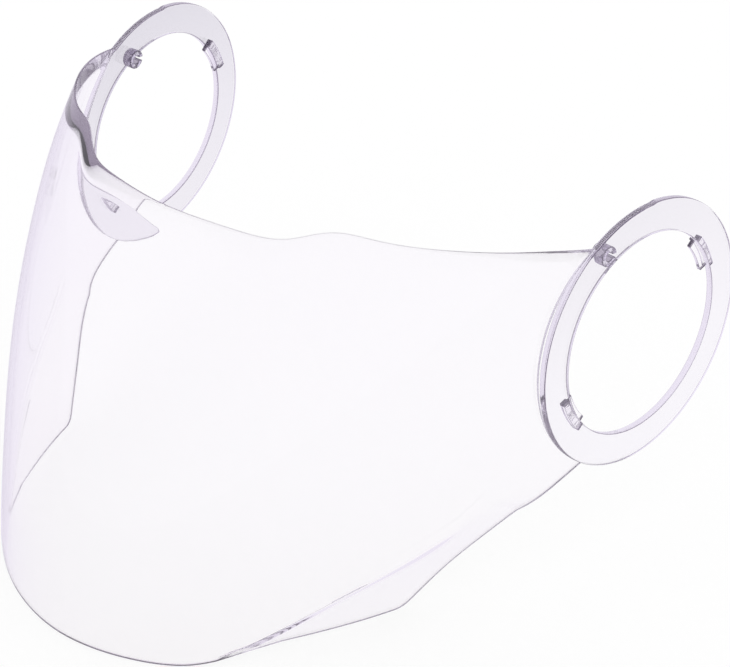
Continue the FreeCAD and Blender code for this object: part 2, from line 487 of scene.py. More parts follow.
@dataclass
class ShieldSurface:
    """Outer surface of the curved wall, from level sections and a folded facet.

    Each section is a superellipse. The facet is ruled between its crease and the wall's lower edge.
    Its tables run from the ring to the chin, and say how far each place lies in front of the rings'
    axis, how far below it, and how far it stands proud of the sections.
    """

    half_width: float = 120.0 * MM
    chin_depth: float = 172.5 * MM
    brow_depth: float = 107.5 * MM
    base_drop: float = 95.0 * MM
    crown_rise: float = 60.0 * MM
    height_shares: Table = (0.0, 0.29, 0.516, 0.71, 0.871, 1.0)
    depth_shares: Table = (1.0, 0.9, 0.667, 0.439, 0.22, 0.0)
    width_shares: Table = (0.992, 1.003, 1.005, 1.002, 0.992, 0.992)
    powers: Table = (1.92, 1.86, 1.98, 1.99, 1.91, 1.71)
    facet_crease_ahead: Table = mm(58.0, 85.0, 118.0, 151.0)
    facet_crease_drop: Table = mm(37.0, 54.2, 69.2, 89.8)
    facet_crease_proud: Table = mm(0.6, 0.0, 0.0, 0.0)
    facet_edge_ahead: Table = mm(34.0, 71.5, 88.1, 127.0)
    facet_edge_drop: Table = mm(47.0, 67.3, 86.2, 90.0)
    facet_edge_proud: Table = mm(-0.2, -8.5, -13.4, -10.5)
    facet_reach_share: float = 0.3
    facet_fade_share: float = 0.12
    fold_softness: float = 1.3 * MM
    fold_sharpness: float = 0.03 * MM
    tip_share: float = 0.35
    search_steps: int = 30

    def sizes(self, height: np.ndarray) -> tuple[np.ndarray, np.ndarray, np.ndarray]:
        """Half width, depth and power of the sections at heights.

        Args:
            height: Heights above the rings' axis.

        Returns:
            The three values at each height.
        """
        share = (height + self.base_drop) / (self.base_drop + self.crown_rise)
        width = self.half_width * smooth_through(self.height_shares, self.width_shares, share)
        depth_share = smooth_through(self.height_shares, self.depth_shares, share)
        depth = mix(self.brow_depth, self.chin_depth, depth_share)
        return width, depth, smooth_through(self.height_shares, self.powers, share)

    def turn_of(self, forward: np.ndarray, height: np.ndarray) -> np.ndarray:
        """Turn round the section (0 at the ear, a quarter circle at the front) of a side-view place."""
        _, depth, power = self.sizes(height)
        return np.arcsin(np.clip(forward / depth, 0, 1) ** (power / 2))

    def full(self, turn: np.ndarray, height: np.ndarray) -> np.ndarray:
        """Points of the unfolded surface at turns and heights.

        Args:
            turn: Turns round the sections.
            height: Heights above the rings' axis.

        Returns:
            A point for each pair.
        """
        width, depth, power = self.sizes(height)
        out = width * np.clip(np.cos(turn), 0, 1) ** (2 / power)
        return np.stack([out, -depth * np.sin(turn) ** (2 / power), height], -1)

    def side_x(self, forward: np.ndarray, height: np.ndarray) -> np.ndarray:
        """Half width of the unfolded surface at a side-view place."""
        width, depth, power = self.sizes(height)
        return width * np.clip(1 - np.clip(forward / depth, 0, 1) ** power, 0, 1) ** (1 / power)

    def ruling(self, share: np.ndarray) -> tuple[np.ndarray, np.ndarray]:
        """Crease end and edge end of the facet's straight lines at shares along it.

        Args:
            share: Shares from 0 at the ring to 1 at the chin.

        Returns:
            The two ends at each share.
        """
        knots = np.arange(len(self.facet_crease_ahead), dtype=float)
        ends = []
        for tables in (
            (self.facet_crease_ahead, self.facet_crease_drop, self.facet_crease_proud),
            (self.facet_edge_ahead, self.facet_edge_drop, self.facet_edge_proud),
        ):
            forward, drop, proud = (smooth_through(knots, table, share * knots[-1]) for table in tables)
            ends.append(np.stack([self.side_x(forward, -drop) + proud, -forward, -drop], -1))
        return ends[0], ends[1]

    def beside(self, points: np.ndarray, share: np.ndarray) -> np.ndarray:
        """Signed side, in the side view, of the facet's straight line on which each point lies.

        Args:
            points: Points of the unfolded surface.
            share: Share along the facet of each line.

        Returns:
            A number for each point that changes sign where the line passes it.
        """
        crease, edge = self.ruling(share)
        run, gap = edge - crease, points - crease
        return run[..., 1] * gap[..., 2] - run[..., 2] * gap[..., 1]

    def tuck(self, points: np.ndarray) -> tuple[np.ndarray, np.ndarray]:
        """Compare the sections with the facet.

        Args:
            points: Points of the unfolded surface on the wearer's left.

        Returns:
            How far each point stands proud of the facet along X, or BESIDE_FACET where there is
            none, and its share along the facet, from the ring to the chin.
        """
        low = np.zeros(points.shape[:-1])
        high = np.ones(points.shape[:-1])
        sign = np.sign(self.beside(points, low))
        inside = sign * np.sign(self.beside(points, high)) < 0
        for _ in range(self.search_steps):
            middle = (low + high) / 2
            same = np.sign(self.beside(points, middle)) == sign
            low = np.where(same, middle, low)
            high = np.where(same, high, middle)
        share = (low + high) / 2
        crease, edge = self.ruling(share)
        run = edge - crease
        length = np.sum(run[..., 1:] ** 2, -1)
        down = np.sum((points - crease)[..., 1:] * run[..., 1:], -1) / length
        proud = points[..., 0] - crease[..., 0] - run[..., 0] * down
        reach = self.facet_reach_share
        near = inside & (down > -reach) & (down < 1 + reach)
        return np.where(near, proud, BESIDE_FACET), share

    def fold(self, points: np.ndarray) -> np.ndarray:
        """Tuck the wall in to the facet, with a radius along the crease that closes at the chin.

        Args:
            points: Points of the unfolded surface on the wearer's left.

        Returns:
            The same points, moved along X.
        """
        proud, share = self.tuck(points)
        fade = np.clip(share / self.facet_fade_share, 0, 1) ** 2
        opening = np.clip((1 - share) / self.tip_share, 0, 1)
        soft = mix(self.fold_sharpness, self.fold_softness, opening)
        tucked = np.where(proud > BESIDE_FACET / 2, (proud + np.sqrt(proud**2 + soft**2)) / 2, 0)
        folded = points.copy()
        folded[..., 0] -= tucked * fade
        return folded


@dataclass
class Shield:
    """Curved wall between the two rings, closed by a polished rim.

    It is drawn as a grid whose rows run from ear to ear and whose columns rise from the jaw to the
    brow, with one row along the facet's crease. The outline's tables say how far each place lies
    in front of the rings' axis, and how far above or below it. A border is a flat list of the
    grid's outermost indices.
    """

    surface: ShieldSurface
    ring_radius: float = 50.0 * MM
    pivot_half_span: float = 119.05 * MM
    ring_splay: float = math.radians(5.2)
    ring_lean: float = math.radians(2.2)
    ring_gap: float = 0.04 * MM
    ear_from: float = math.radians(-56)
    ear_to: float = math.radians(60)
    ear_passes: int = 8
    wall: float = 2.2 * MM
    rim_round: float = 0.45 * MM
    rim_share: float = 0.42
    rim_turns: tuple[int, ...] = (30, 60, 90)
    joint_round: float = 0.02 * MM
    top_ahead: Table = mm(-10.75, 26.9, 38.7, 56.4, 71.5, 83.9, 89.2, 94.8, 103.7, 108.4, 112.3)
    top_rise: Table = mm(36.3, 44.0, 46.8, 50.0, 52.6, 55.4, 56.8, 55.8, 53.3, 54.2, 54.9)
    jaw_ahead: Table = mm(0.0, 30.0, 44.9, 59.5, 71.4, 77.6)
    jaw_drop: Table = mm(31.0, 41.3, 47.3, 56.2, 67.2, 73.9)
    corner_ahead: float = 88.1 * MM
    corner_drop: float = 86.2 * MM
    corner_round: float = 7.0 * MM
    corner_steps: int = 23
    chin_ahead: Table = mm(131.0, 137.2, 145.5, 155.9, 166.3)
    chin_drop: Table = mm(84.4, 85.3, 87.2, 91.3, 92.2)
    overlap: float = 6.0 * MM
    bevel_reach: float = 8.5 * MM
    bevel_edge_wall: float = 0.7 * MM
    bevel_power: float = 1.6
    top_band: float = 10.0 * MM
    shoulder_from: float = 68.0 * MM
    support: float = 0.85 * MM
    edge_length: float = 150.0 * MM
    least_crease: float = 2.2 * MM
    crease_runout: int = 6
    last_turn: float = QUARTER - 0.001
    columns: int = 170
    facet_rows: int = 18
    middle_rows: int = 66
    middle_crowding: float = 1.35
    top_rows: int = 13
    fine_rows: int = 400
    line_steps: int = 400

    def ring_matrix(self) -> Matrix:
        """Place of the left ring's own frame, whose X is its axis."""
        turn = Matrix.Rotation(-self.ring_splay, 4, "Z") @ Matrix.Rotation(-self.ring_lean, 4, "Y")
        return Matrix.Translation((self.pivot_half_span, 0, 0)) @ turn

    def ear_line(self) -> np.ndarray:
        """Side-view places where the wall meets the ring, from the jaw to the brow.

        Returns:
            Rows of the length forward and the height.
        """
        place = np.array(self.ring_matrix())
        turns = np.linspace(self.ear_from, self.ear_to, self.line_steps)
        radius = self.ring_radius + self.ring_gap
        circle = np.stack([0 * turns, -radius * np.cos(turns), radius * np.sin(turns)], -1)
        points = circle @ place[:3, :3].T + place[:3, 3]
        for _ in range(self.ear_passes):
            short = self.surface.side_x(-points[:, 1], points[:, 2]) - points[:, 0]
            points = points + np.outer(short, place[:3, 0])
        return points[:, 1:] * [-1, 1]

    def smooth_line(self, start: float, forward: Table, heights: Iterable[float]) -> np.ndarray:
        """Side-view places from a start to the end of a table of the outline."""
        steps = np.linspace(start, forward[-1], self.line_steps)
        return np.stack([steps, smooth_through(forward, heights, steps)], -1)

    def brow_line(self) -> np.ndarray:
        """Side-view places along the brow, from above the ring to the middle plane."""
        return self.smooth_line(self.top_ahead[1] - self.overlap, self.top_ahead, self.top_rise)

    def jaw_line(self) -> np.ndarray:
        """Side-view places along the jaw and chin, from below the ring to the middle plane.

        Returns:
            Rows of the length forward and the height.
        """
        jaw_heights, chin_heights = -np.array(self.jaw_drop), -np.array(self.chin_drop)
        jaw = self.smooth_line(self.jaw_ahead[1] - self.overlap, self.jaw_ahead, jaw_heights)
        chin = self.smooth_line(self.chin_ahead[0], self.chin_ahead, chin_heights)
        corner = np.array([self.corner_ahead, -self.corner_drop])
        arc = corner_arc(jaw[-1], corner, chin[0], self.corner_round, self.corner_steps)
        front = np.array([[self.surface.chin_depth, -self.chin_drop[-1]]])
        return np.concatenate([jaw, arc, chin, front])

    def frame_line(self, line: np.ndarray, ear: np.ndarray) -> np.ndarray:
        """Cut an edge at the ring.

        Args:
            line: Side-view places along the brow or the jaw.
            ear: Side-view places where the wall meets the ring.

        Returns:
            Turns and heights from the ring to the middle plane.
        """
        reach = np.array([np.min(np.hypot(*(ear - place).T)) for place in line])
        start = int(np.argmin(reach[: self.line_steps // 2]))
        forward, heights = line[start:].T
        turns = self.surface.turn_of(forward, heights)
        kept = np.stack([turns, heights], -1)[turns < self.last_turn]
        return np.concatenate([kept, [[QUARTER, heights[-1]]]])

    def spread(self, line: np.ndarray, shares: np.ndarray) -> np.ndarray:
        """Read turns and heights at shares of the line's length on the surface."""
        run = lengths_along(self.surface.full(line[:, 0], line[:, 1]))
        return read_along(run, line, shares * run[-1])

    def patch(self) -> np.ndarray:
        """Stretch the left half between its four edges.

        Returns:
            Turns and heights, in fine rows from the jaw to the brow and columns from the ear to
            the middle plane.
        """
        ear_places = self.ear_line()
        along = np.linspace(0, 1, self.columns + 1)
        along[1] = self.support / self.edge_length
        up = np.linspace(0, 1, self.fine_rows + 1)
        jaw = self.spread(self.frame_line(self.jaw_line(), ear_places), along)
        brow = self.spread(self.frame_line(self.brow_line(), ear_places), along)
        turns, heights = self.surface.turn_of(*ear_places.T), ear_places[:, 1]
        between = (heights > jaw[0, 1]) & (heights < brow[0, 1])
        ear = np.stack([turns, heights], -1)[between]
        ear = self.spread(np.concatenate([jaw[:1], ear, brow[:1]]), up)
        front = np.stack([np.full(len(up), QUARTER), mix(jaw[-1, 1], brow[-1, 1], up)], -1)
        front = self.spread(front, up)
        along, up = along[None, :, None], up[:, None, None]
        sides = mix(jaw[None], brow[None], up) + mix(ear[:, None], front[:, None], along)
        return sides - mix(mix(jaw[0], jaw[-1], along), mix(brow[0], brow[-1], along), up)

    def crease_lengths(self, proud: np.ndarray, run: np.ndarray) -> np.ndarray:
        """Find the crease.

        Args:
            proud: How far each point of the patch stands proud of the facet.
            run: Length from the jaw up to each point.

        Returns:
            Length up each column to the crease, or the least length past its end.
        """
        found: dict[int, float] = {}
        for column, (gaps, lengths) in enumerate(zip(proud.T, run.T)):
            over = np.nonzero(gaps > 0)[0]
            if len(over) and over[-1] + 1 < len(gaps):
                last = over[-1]
                above = gaps[last + 1]
                share = gaps[last] / (gaps[last] - above) if above > BESIDE_FACET / 2 else 0.5
                found[column] = mix(lengths[last], lengths[last + 1], share)
        columns = proud.shape[1]
        beyond = min(max(found) + self.crease_runout, columns - 1)
        places = [*found, beyond]
        lengths = [*found.values(), self.least_crease]
        return np.maximum(np.interp(np.arange(columns), places, lengths), self.least_crease)

    def row_lengths(self, crease: float, whole: float) -> np.ndarray:
        """Space out the rows of one column.

        Args:
            crease: Length up the column to the crease.
            whole: Length up it to the brow.

        Returns:
            Rising lengths, closest at the crease and near the brow.
        """
        upper = whole - self.top_band
        facet = mix(self.support, crease, np.sin(np.linspace(0, QUARTER, self.facet_rows)))
        middle = mix(crease, upper, np.linspace(0, 1, self.middle_rows) ** self.middle_crowding)
        top = np.linspace(upper, whole - self.support, self.top_rows)
        return np.concatenate([[0.0], facet, middle[1:], top[1:], [whole]])

    def left_half(self) -> tuple[np.ndarray, np.ndarray]:
        """Outer face of the left half and the wall's thickness at each of its points.

        Returns:
            Points in rows from the jaw to the brow, and the thickness at each.
        """
        fine = self.patch()
        full = self.surface.full(fine[..., 0], fine[..., 1])
        run = lengths_along(full)
        crease = self.crease_lengths(self.surface.tuck(full)[0], run)
        places, depths = [], []
        for column, whole in enumerate(run[-1]):
            wanted = self.row_lengths(crease[column], whole)
            places.append(read_along(run[:, column], fine[:, column], wanted))
            depths.append(whole - wanted)
        place = np.stack(places, 1)
        share = np.clip(1 - np.stack(depths, 1) / self.bevel_reach, 0, 1)
        wall = mix(self.wall, self.bevel_edge_wall, share**self.bevel_power)
        return self.surface.fold(self.surface.full(place[..., 0], place[..., 1])), wall[..., None]

    def rim_radii(self, wall: np.ndarray, on_ear: np.ndarray) -> np.ndarray:
        """Rounding of the rim at each point of the border, almost none where the ring joins."""
        radii = np.minimum(self.rim_round, self.rim_share * wall)
        return np.where(on_ear[:, None], self.joint_round, radii)

    def rim_zones(self, zone: WallZone, edges: np.ndarray, across: np.ndarray) -> np.ndarray:
        """Choose the finish of one strip of the rim.

        Args:
            zone: The strip's zone along the jaw.
            edges: Edge of the wall that each point is on.
            across: X of each point.

        Returns:
            The zone at each point.
        """
        # Beyond shoulder_from on the right, the brow rim gets painted dark shade.
        brow = np.where(across < -self.shoulder_from, WallZone.SHOULDER, WallZone.RIM)
        zones = np.where(edges == Edge.BROW, brow, zone)
        return np.where(edges == Edge.EAR, WallZone.RIM, zones)

    def build(self, finishes: Finishes, place: Matrix) -> None:
        """Make the closed wall.

        Args:
            finishes: Face, flat rim, rounded-rim painted shade and shoulder-rim painted dark shade finishes.
            place: Where the pivot frame sits.
        """
        left, left_wall = self.left_half()
        outer, wall = mirrored(left, [-1, 1, 1]), mirrored(left_wall, [1])
        normals = grid_normals(outer)
        inner = outer - normals * wall
        border, edges = wall_border(*outer.shape[:2])
        outer, inner, normals, walls = (
            values.reshape(-1, values.shape[-1]) for values in (outer, inner, normals, wall)
        )
        rim_outer, rim_inner, rim_normals = outer[border], inner[border], normals[border]
        out = rim_directions(rim_outer, rim_normals)
        radii = self.rim_radii(walls[border], edges == Edge.EAR)
        skin = Skin()
        faces = []
        for points in (outer, inner):
            drawn_in = points.copy()
            drawn_in[border] -= out * radii
            faces.append(skin.add(drawn_in).reshape(wall.shape[:2]))
        for row in range(len(wall) - 1):
            for face, (lower, upper) in zip(faces, ((row + 1, row), (row, row + 1))):
                skin.strip(face[lower], face[upper], WallZone.FACE)
        turns = [math.radians(turn) for turn in self.rim_turns]
        rows = rounding(rim_outer, out, -rim_normals, radii, turns)
        rows += rounding(rim_inner, out, rim_normals, radii, turns[::-1])
        loops = [faces[0].ravel()[border], *map(skin.add, rows), faces[1].ravel()[border]]
        half = [WallZone.ROUNDING] * len(turns)
        for lower, upper, zone in zip(loops, loops[1:], [*half, WallZone.RIM, *half]):
            skin.strip(lower, upper, self.rim_zones(zone, edges, rim_outer[:, 0]), closed=True)
        piece = skin.piece("shield_wall", finishes, place)
        joint = {int(spot) for loop in loops for spot in loop[edges == Edge.EAR]}
        for edge in piece.data.edges:
            edge.use_edge_sharp = joint.issuperset(edge.vertices)
        dress(piece, "shield")


def mirrored(half: np.ndarray, flip: Sequence[int]) -> np.ndarray:
    """Add the right half's columns to the left half's, which end at the middle plane."""
    return np.concatenate([half, half[:, -2::-1] * flip], 1)


def grid_normals(grid: np.ndarray) -> np.ndarray:
    """Outward unit normals of a grid of points.

    Args:
        grid: Points of a surface whose middle faces the front.

    Returns:
        A normal at each point.
    """
    normals = unit(np.cross(np.gradient(grid, axis=0), np.gradient(grid, axis=1)))
    middle = normals[grid.shape[0] // 2, grid.shape[1] // 2]
    return normals if middle[1] < 0 else -normals


def wall_border(rows: int, columns: int) -> tuple[np.ndarray, np.ndarray]:
    """Flat indices round the border of the wall's grid, each once, and the edge that each is on.

    Args:
        rows: Rows of the grid.
        columns: Columns of the grid.

    Returns:
        The indices, and the Edge of each.
    """
    index = np.arange(rows * columns).reshape(rows, columns)
    border = np.concatenate([index[0, :-1], index[:-1, -1], index[-1, :0:-1], index[:0:-1, 0]])
    sides = (Edge.JAW, Edge.EAR, Edge.BROW, Edge.EAR)
    return border, np.repeat(sides, (columns - 1, rows - 1) * 2)


def rim_directions(points: np.ndarray, normals: np.ndarray) -> np.ndarray:
    """Unit directions that point out of a surface's border, in the surface.

    Args:
        points: Points of the border, in order.
        normals: The surface's normals there.

    Returns:
        A direction at each point.
    """
    run = unit(np.roll(points, -1, 0) - np.roll(points, 1, 0))
    out = unit(np.cross(run, normals))
    return out if np.sum(out * (points - points.mean(0))) > 0 else -out


def rounding(
    edge: np.ndarray, out: np.ndarray, inward: np.ndarray, radii: np.ndarray, turns: Sequence[float]
) -> list[np.ndarray]:
    """Round one edge of the wall's rim.

    Args:
        edge: Points of the sharp edge.
        out: Directions out of the border.
        inward: Directions into the wall's thickness.
        radii: Radius at each point.
        turns: Turns round the edge, from 0 on the wall's face to a quarter circle on the rim.

    Returns:
        A row of points at each turn.
    """
    return [
        edge + out * radii * (math.sin(turn) - 1) + inward * radii * (1 - math.cos(turn)) for turn in turns
    ]


@dataclass
class Stance:
    """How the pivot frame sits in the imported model's frame, on the chin and the rear corners."""

    shield: Shield

    def matrix(self) -> Matrix:
        """Work out the pitch from the feet and the shift from the left ring's place.

        Returns:
            Where the pivot frame goes.
        """
        drop = self.shield.chin_drop[-1] - self.shield.corner_drop
        pitch = math.atan2(drop, self.shield.surface.chin_depth - self.shield.corner_ahead)
        low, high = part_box(Side.LEFT.node("ring"))
        centre = (Vector(low) + Vector(high)) / 2
        return Matrix.Translation((0, centre.y, centre.z)) @ Matrix.Rotation(-pitch, 4, "X")


def rounded(corners: Sequence[tuple[float, float]], radius: float, steps: int = 4) -> np.ndarray:
    """Round the corners of a closed profile and give each long flat a support point at both ends.

    Args:
        corners: Points (x, r), in order.
        radius: Corner radius.
        steps: Straight pieces in each corner.

    Returns:
        Rows of (x, r).
    """
    points = np.array(corners)
    made: list[np.ndarray] = []
    for before, corner, after in zip(np.roll(points, 1, 0), points, np.roll(points, -1, 0)):
        arc = corner_arc(before, corner, after, radius, steps)
        supports = []
        for tip, far in ((arc[0], before), (arc[-1], after)):
            leg, flat = tip - corner, far - corner
            is_long = np.linalg.norm(flat) > LEAST_LEGS * np.linalg.norm(leg)
            supports.append([corner + leg * SUPPORT_LEGS] if is_long else [])
        made += [*supports[0], *arc, *supports[1]]
    return np.array(made)


def profile_normals(profile: np.ndarray) -> np.ndarray:
    """Outward unit normals of a closed profile.

    Args:
        profile: Rows of (x, r).

    Returns:
        A normal at each row.
    """
    after = np.roll(profile, -1, 0)
    run = after - np.roll(profile, 1, 0)
    normals = unit(np.stack([run[:, 1], -run[:, 0]], -1))
    area = np.sum(profile[:, 0] * after[:, 1] - profile[:, 1] * after[:, 0])
    return normals if area > 0 else -normals


def end_inset(radius: float, gap: float) -> float:
    """How far a rounded end is drawn in at a length from its tip."""
    return radius - math.sqrt(radius**2 - (radius - gap) ** 2)


def end_stations(count: int, length: float, radius: float, steps: int) -> list[float]:
    """Space out the stations of an open sweep.

    Args:
        count: Even stations between the rounded ends.
        length: Length of the sweep.
        radius: Rounding of its ends.
        steps: Stations over each rounded end.

    Returns:
        Rising stations from -1 to 1.
    """
    share = 2 * radius / length
    ends = [share * (1 - math.cos(QUARTER * step / steps)) for step in range(steps)]
    middle = np.linspace(-1 + share, 1 - share, count).tolist()
    return [-1 + end for end in ends] + middle + [1 - end for end in reversed(ends)]


@dataclass
class Sweep:
    """A closed profile of (x, r) points carried round an axis along X.

    An open sweep has its stations from -1 to 1 along its length. Near its ends the whole profile is
    drawn in over end_round, and its radii alone over plan_round.
    """

    profile: np.ndarray
    turn_of: Callable[[np.ndarray, float], np.ndarray]
    stations: Sequence[float]
    centre: tuple[float, float] = (0.0, 0.0)
    end_round: float = 0.0
    plan_round: float = 0.0
    length: float = 0.0
    closed: bool = False
    flat_slope: float = 0.05

    def to_end(self, station: float) -> float:
        """Length from a station to the nearer end."""
        return (1 - abs(station)) * self.length / 2

    def shaped(self, station: float) -> np.ndarray:
        """The profile at a station, drawn in near the ends.

        Args:
            station: Place along the sweep.

        Returns:
            Rows of (x, r).
        """
        profile = self.profile
        if self.closed:
            return profile
        gap = self.to_end(station)
        if gap < self.end_round:
            profile = profile - profile_normals(profile) * end_inset(self.end_round, gap)
        if gap < self.plan_round:
            inset = end_inset(self.plan_round, gap)
            low, high = profile[:, 1].min(), profile[:, 1].max()
            profile = np.stack([profile[:, 0], np.clip(profile[:, 1], low + inset, high - inset)], -1)
        return profile

    def zones(self) -> np.ndarray:
        """Zone of the face that starts at each point of the profile.

        Returns:
            Flats along the axis as rims, flats across it as faces, and the corners as roundings.
        """
        run = np.abs(np.roll(self.profile, -1, 0) - self.profile)
        along, out = unit(run).T
        flats = np.where(along > out, SweepZone.RIM, SweepZone.FACE)
        return np.where(np.minimum(along, out) > self.flat_slope, SweepZone.ROUNDING, flats)

    def skin(self) -> Skin:
        """Draw the sweep.

        Returns:
            A skin with a row of points at each station.
        """
        skin = Skin()
        rows = []
        for station in self.stations:
            profile = self.shaped(station)
            turn = self.turn_of(profile[:, 1], station)
            across = self.centre[0] + profile[:, 1] * np.cos(turn)
            up = self.centre[1] + profile[:, 1] * np.sin(turn)
            rows.append(skin.add(np.stack([profile[:, 0], across, up], -1)))
        zones = self.zones()
        if self.closed:
            for lower, upper in zip(rows, rows[1:] + rows[:1]):
                skin.strip(lower, upper, zones, closed=True)
            return skin
        for step, (lower, upper) in enumerate(zip(rows, rows[1:])):
            middle = (self.stations[step] + self.stations[step + 1]) / 2
            ending = self.to_end(middle) < max(self.end_round, self.plan_round)
            skin.strip(lower, upper, SweepZone.END if ending else zones, closed=True)
        for row in (rows[0], rows[-1]):
            skin.cap(row, SweepZone.END)
        return skin


@dataclass
class ArmRing:
    """Round arm plate that turns about the helmet's pod.

    Turns go round the ring from the rear by way of the top. The teeth stand on the stretch that is
    toothed, the wall ends on the joined one, the soft one has a rougher rim, and the dark one has
    painted dark shade on its bore edges.
    """

    radius: float = 49.98 * MM
    bore_radius: float = 37.9 * MM
    thickness: float = 2.6 * MM
    face_proud: float = 1.3 * MM
    edge_round: float = 0.4 * MM
    facets: int = 256
    toothed: tuple[float, float] = (84.0, 121.0)
    tooth_ramp: float = 1.5
    tooth_seat: float = 0.45 * MM
    joined: tuple[float, float] = (123.0, 236.0)
    soft: tuple[float, float] = (190.0, 262.0)
    # Stretch whose bore-side rounded edges get painted dark shade.
    dark: tuple[float, float] = (100.0, 208.0)

    def recess(self, turn: float) -> float:
        """How far the rim is drawn in for the teeth at a turn round the ring.

        Args:
            turn: The turn.

        Returns:
            A length, which grows from nothing at both ends of the teeth.
        """
        start, end = map(math.radians, self.toothed)
        inside = min(turn - start, end - turn) / math.radians(self.tooth_ramp)
        return self.tooth_seat * min(max(inside, 0.0), 1.0)

    def near_rim(self, radii: np.ndarray) -> np.ndarray:
        """Whether places belong to the ring's outer rim and its two roundings."""
        return radii > self.radius - 2 * self.edge_round

    def zones(self, profile: np.ndarray, turns: np.ndarray, zones: np.ndarray) -> np.ndarray:
        """Choose the finish of each face.

        Args:
            profile: The swept profile.
            turns: Turn round the ring of each station.
            zones: The sweep's own zone of each face, in a row for each station.

        Returns:
            Zones that are clear where the wall joins, soft low on the rim and painted dark shade on the bore
            edges over the dark stretch, with painted edge shade on the other rounded edges.
        """

        def stretch(limits: tuple[float, float]) -> np.ndarray:
            """Which stations lie on a stretch of the ring."""
            start, end = map(math.radians, limits)
            return ((turns > start) & (turns < end))[:, None]

        across, radii = ((profile + np.roll(profile, -1, 0)) / 2).T
        inboard = across < self.face_proud - self.thickness / 2
        outer = radii > (self.radius + self.bore_radius) / 2
        behind = (np.cos(turns) > 0) | (turns > math.radians(self.joined[1]))
        round_edge = zones == SweepZone.ROUNDING
        # Rounded edges that are not clear keep the rounding finish, which is painted edge shade.
        clear = np.where(inboard, outer, behind[:, None]) | (stretch(self.joined) & self.near_rim(radii))
        chosen = np.where(round_edge & clear, SweepZone.RIM, zones)
        low_rim = stretch(self.soft) & self.near_rim(radii) & (chosen != SweepZone.FACE)
        chosen = np.where(low_rim, SweepZone.SOFT_RIM, chosen)
        # Painted dark shade on the bore side's rounded edges over the dark stretch.
        return np.where(stretch(self.dark) & round_edge & ~outer, SweepZone.END, chosen)

    def build(self, arm: Arm, finishes: Finishes) -> None:
        """Make one ring.

        Args:
            arm: Which arm it is on.
            finishes: Face, rim, rounded-edge painted shade, dark-edge painted shade and soft-rim finishes.
        """
        low, high = self.face_proud - self.thickness, self.face_proud
        corners = [(low, self.bore_radius), (high, self.bore_radius), (high, self.radius), (low, self.radius)]
        profile = rounded(corners, self.edge_round)
        turns = np.linspace(0, 2 * math.pi, self.facets, endpoint=False)
        skin = Sweep(profile, lambda radii, turn: np.full(len(radii), turn), turns, closed=True).skin()
        for points, turn in zip(skin.points, turns):
            rim = self.near_rim(np.hypot(points[:, 1], points[:, 2]))
            points -= np.outer(rim, [0, math.cos(turn), math.sin(turn)]) * self.recess(turn)
        zones = np.reshape(skin.zones, (len(turns), len(profile)))
        skin.zones = self.zones(profile, turns, zones).ravel().tolist()
        arm.add(skin, "arm_ring", finishes, "ring")


@dataclass
class RetainingTab:
    """Tab on the ring's inboard face: a foot under the ring and a lip that reaches into the bore."""

    seat: float = -1.3 * MM
    bore_radius: float = 37.9 * MM
    overhang: float = 2.6 * MM
    foot: float = 2.9 * MM
    length: float = 15.0 * MM
    height: float = 2.2 * MM
    lip: float = 1.4 * MM
    corner_round: float = 0.8 * MM
    edge_round: float = 0.22 * MM
    stations: int = 17
    corner_steps: int = 6

    def build(self, tab: TabPlace, arm: Arm, finishes: Finishes) -> None:
        """Make one tab.

        Args:
            tab: Which of the ring's two tabs.
            arm: Which arm it is on.
            finishes: Face, rim, rounded-edge and end finishes.
        """
        foot, reach = self.bore_radius + self.foot, self.bore_radius - self.overhang
        lip, low = self.seat - self.lip, self.seat - self.height
        bore = self.bore_radius
        corners = [(self.seat, foot), (self.seat, reach), (lip, reach), (lip, bore), (low, bore), (low, foot)]
        middle, half = math.radians(tab.value), self.length / self.bore_radius / 2
        sweep = Sweep(
            rounded(corners, self.edge_round),
            lambda radii, station: np.full(len(radii), middle + half * station),
            end_stations(self.stations, self.length, self.corner_round, self.corner_steps),
            end_round=self.edge_round * END_SHARE,
            plan_round=self.corner_round,
            length=self.length,
        )
        arm.add(sweep.skin(), f"{tab.piece()}_piece", finishes, tab.piece())


@dataclass
class GuideHook:
    """Split hollow stud on the ring's inboard face."""

    seat: float = -1.3 * MM
    ring_radius: float = 41.0 * MM
    turn: float = math.radians(115)
    radius: float = 3.7 * MM
    hole: float = 1.6 * MM
    height: float = 4.0 * MM
    slit: float = 1.4 * MM
    slit_turn: float = math.radians(-10)
    edge_round: float = 0.35 * MM
    stations: int = 40
    corner_steps: int = 4

    def turn_of(self, radii: np.ndarray, station: float) -> np.ndarray:
        """Turns round the stud at a station, from one side of the slit to the other."""
        opening = np.arcsin(np.clip(self.slit / 2 / radii, 0, 1))
        return self.slit_turn + math.pi + (math.pi - opening) * station

    def build(self, arm: Arm, finishes: Finishes) -> None:
        """Make one stud.

        Args:
            arm: Which arm it is on.
            finishes: Face, rim, rounded-edge and end finishes.
        """
        low = self.seat - self.height
        corners = [(low, self.hole), (self.seat, self.hole), (self.seat, self.radius), (low, self.radius)]
        length = 2 * math.pi * self.radius
        sweep = Sweep(
            rounded(corners, self.edge_round),
            self.turn_of,
            end_stations(self.stations, length, self.edge_round, self.corner_steps),
            centre=(self.ring_radius * math.cos(self.turn), self.ring_radius * math.sin(self.turn)),
            end_round=self.edge_round * END_SHARE,
            length=length,
        )
        arm.add(sweep.skin(), "guide_stud", finishes, "guide_hook")


